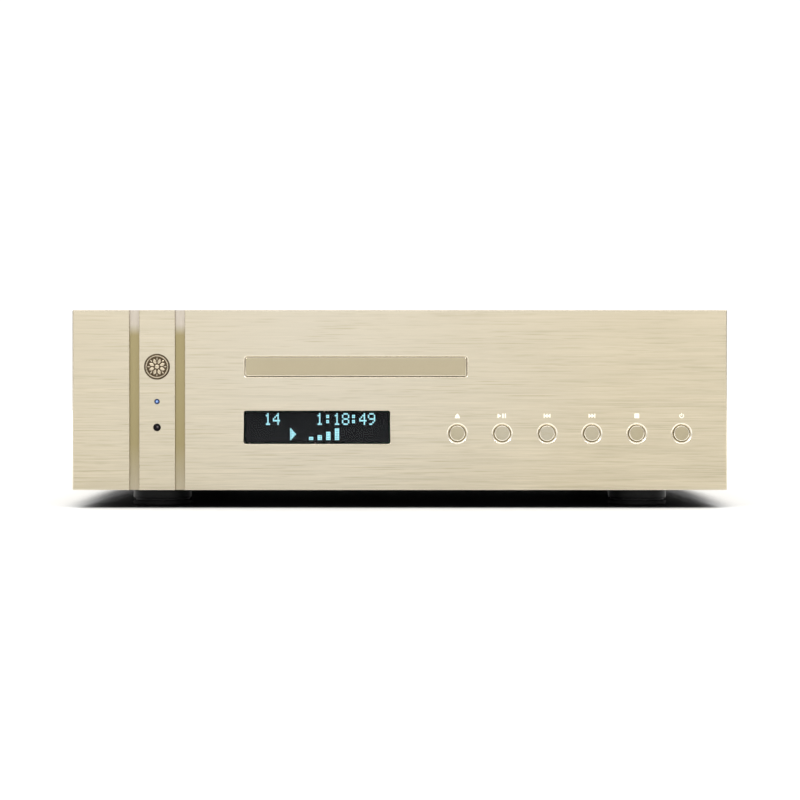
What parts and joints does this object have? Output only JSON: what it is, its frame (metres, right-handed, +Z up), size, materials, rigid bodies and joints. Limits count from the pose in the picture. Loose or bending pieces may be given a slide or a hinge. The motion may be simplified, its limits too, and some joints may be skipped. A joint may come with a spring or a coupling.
{
  "type": "cd player",
  "caption": "Wide flat disc player with a thick brushed front panel, motor-driven disc tray, black display window, row of round push buttons and round feet.",
  "frame": {"origin": "on the shelf, under the middle of the player: x and y at the middle of its bounding box, z at the underside of the feet", "axes": "+X to the right seen from the front, +Y to the rear, +Z up; the front panel faces -Y"},
  "size_m": [0.43, 0.37, 0.13],
  "materials": {
    "brushed_gold": "champagne anodised, brushed across",
    "satin_gold": "champagne anodised, satin",
    "case_gold": "champagne paint, fine texture",
    "bronze": "antique bronze relief",
    "rubber": "matt black",
    "black_plastic": "fine grain",
    "grey_plastic": "glass-filled",
    "white_plastic": "natural acetal",
    "dark_glass": "smoked acrylic",
    "blue_lens": "clear blue",
    "clear_lens": "polished",
    "steel": "zinc plated",
    "black_steel": "black powder coat",
    "board": "green solder mask",
    "winding": "lacquered copper",
    "gold_plate": "gold plated"
  },
  "bodies": {
    "chassis": {"front_panel": "brushed_gold", "base_pan": "black_steel", "rear_panel": "black_steel", "side_panel_left": "case_gold", "side_panel_right": "case_gold", "top_cover": "case_gold", "foot_front_left": "rubber", "foot_front_right": "rubber", "foot_rear_left": "rubber", "foot_rear_right": "rubber", "transport_stand": "steel", "badge": "bronze", "led_lens": "blue_lens", "ir_lens": "dark_glass", "indicator_board": "board", "display_window": "dark_glass", "display_module": "board", "button_board": "board", "loader_frame": "black_plastic", "clamp_bridge": "steel", "loading_motor": "steel", "loading_belt": "rubber", "control_board": "board", "toroidal_transformer": "winding", "transformer_clamp": "steel", "power_board": "board", "regulator_heatsink": "steel", "output_board": "board", "power_inlet": "black_plastic", "rca_jack_left": "gold_plate", "rca_jack_right": "gold_plate", "coaxial_jack": "gold_plate", "xlr_jack_left": "steel", "xlr_jack_right": "steel", "optical_jack": "black_plastic"},
    "tray": {"disc_tray": "black_plastic", "tray_door": "satin_gold"},
    "eject_button": {"button_eject": "satin_gold"},
    "play_pause_button": {"button_play_pause": "satin_gold"},
    "previous_button": {"button_previous": "satin_gold"},
    "next_button": {"button_next": "satin_gold"},
    "stop_button": {"button_stop": "satin_gold"},
    "power_button": {"button_power": "satin_gold"},
    "clamper": {"clamper": "white_plastic"},
    "motor_pulley": {"motor_pulley": "white_plastic"},
    "pulley_gear": {"pulley_gear": "white_plastic"},
    "drive_gear": {"drive_gear": "white_plastic"},
    "cam_slider": {"cam_slider": "white_plastic"},
    "deck": {"deck_plate": "steel", "spindle_motor": "steel", "guide_rod_left": "steel", "guide_rod_right": "steel", "sled_motor": "steel"},
    "turntable": {"turntable": "black_plastic"},
    "sled": {"pickup_sled": "grey_plastic"},
    "lens": {"objective_lens": "clear_lens"},
    "sled_pinion": {"sled_pinion": "white_plastic"},
    "sled_gear": {"sled_gear": "white_plastic"},
    "power_rocker": {"power_rocker": "black_plastic"},
    "fuse_drawer": {"fuse_drawer": "black_plastic"}
  },
  "joints": [
    {"name": "tray_slide", "type": "slide", "parent": "chassis", "child": "tray", "axis": [0, -1, 0], "range_m": [0, 0.145]},
    {"name": "eject_press", "type": "slide", "parent": "chassis", "child": "eject_button", "axis": [0, 1, 0], "range_m": [0, 0.001]},
    {"name": "play_pause_press", "type": "slide", "parent": "chassis", "child": "play_pause_button", "axis": [0, 1, 0], "range_m": [0, 0.001]},
    {"name": "previous_press", "type": "slide", "parent": "chassis", "child": "previous_button", "axis": [0, 1, 0], "range_m": [0, 0.001]},
    {"name": "next_press", "type": "slide", "parent": "chassis", "child": "next_button", "axis": [0, 1, 0], "range_m": [0, 0.001]},
    {"name": "stop_press", "type": "slide", "parent": "chassis", "child": "stop_button", "axis": [0, 1, 0], "range_m": [0, 0.001]},
    {"name": "power_press", "type": "slide", "parent": "chassis", "child": "power_button", "axis": [0, 1, 0], "range_m": [0, 0.001]},
    {"name": "deck_tilt", "type": "hinge", "parent": "chassis", "child": "deck", "pos_m": [-0.0288, -0.017, 0.08], "axis": [1, 0, 0], "range_deg": [0, 6]},
    {"name": "turntable_spin", "type": "hinge", "parent": "deck", "child": "turntable", "pos_m": [-0.0288, -0.105, 0.095], "axis": [0, 0, 1], "continuous": true},
    {"name": "sled_slide", "type": "slide", "parent": "deck", "child": "sled", "axis": [0, 1, 0], "range_m": [0, 0.034]},
    {"name": "lens_focus", "type": "slide", "parent": "sled", "child": "lens", "axis": [0, 0, 1], "range_m": [-0.0006, 0.0006]},
    {"name": "power_switch", "type": "hinge", "parent": "chassis", "child": "power_rocker", "pos_m": [0.172, 0.176, 0.082], "axis": [1, 0, 0], "range_deg": [0, 14]},
    {"name": "fuse_drawer_slide", "type": "slide", "parent": "chassis", "child": "fuse_drawer", "axis": [0, 1, 0], "range_m": [0, 0.018]},
    {"name": "drive_gear_spin", "type": "hinge", "parent": "chassis", "child": "drive_gear", "pos_m": [0.0172, -0.141, 0.08], "axis": [0, 0, 1], "range_deg": [-692.5, 0]},
    {"name": "pulley_gear_spin", "type": "hinge", "parent": "chassis", "child": "pulley_gear", "pos_m": [-0.00206, -0.14998, 0.075], "axis": [0, 0, 1], "range_deg": [0, 1662]},
    {"name": "motor_pulley_spin", "type": "hinge", "parent": "chassis", "child": "motor_pulley", "pos_m": [-0.0588, -0.147, 0.07], "axis": [0, 0, 1], "range_deg": [0, 6395]},
    {"name": "cam_slide", "type": "slide", "parent": "chassis", "child": "cam_slider", "axis": [-1, 0, 0], "range_m": [0, 0.024]},
    {"name": "clamper_spin", "type": "hinge", "parent": "chassis", "child": "clamper", "pos_m": [-0.0288, -0.105, 0.1], "axis": [0, 0, 1], "continuous": true},
    {"name": "sled_gear_spin", "type": "hinge", "parent": "deck", "child": "sled_gear", "pos_m": [0.0107, -0.061, 0.078], "axis": [0, 0, 1], "range_deg": [-195, 0]},
    {"name": "sled_pinion_spin", "type": "hinge", "parent": "deck", "child": "sled_pinion", "pos_m": [0.0107, -0.076, 0.078], "axis": [0, 0, 1], "range_deg": [0, 390]}
  ],
  "couplings": [
    {"joint": "drive_gear_spin", "follows": "tray_slide", "rad_per_m": -83.333},
    {"joint": "pulley_gear_spin", "follows": "tray_slide", "rad_per_m": 200},
    {"joint": "motor_pulley_spin", "follows": "tray_slide", "rad_per_m": 769.7},
    {"joint": "cam_slide", "follows": "deck_tilt", "m_per_rad": 0.2291},
    {"joint": "clamper_spin", "follows": "turntable_spin", "ratio": 1},
    {"joint": "sled_gear_spin", "follows": "sled_slide", "rad_per_m": -100},
    {"joint": "sled_pinion_spin", "follows": "sled_slide", "rad_per_m": 200}
  ]
}
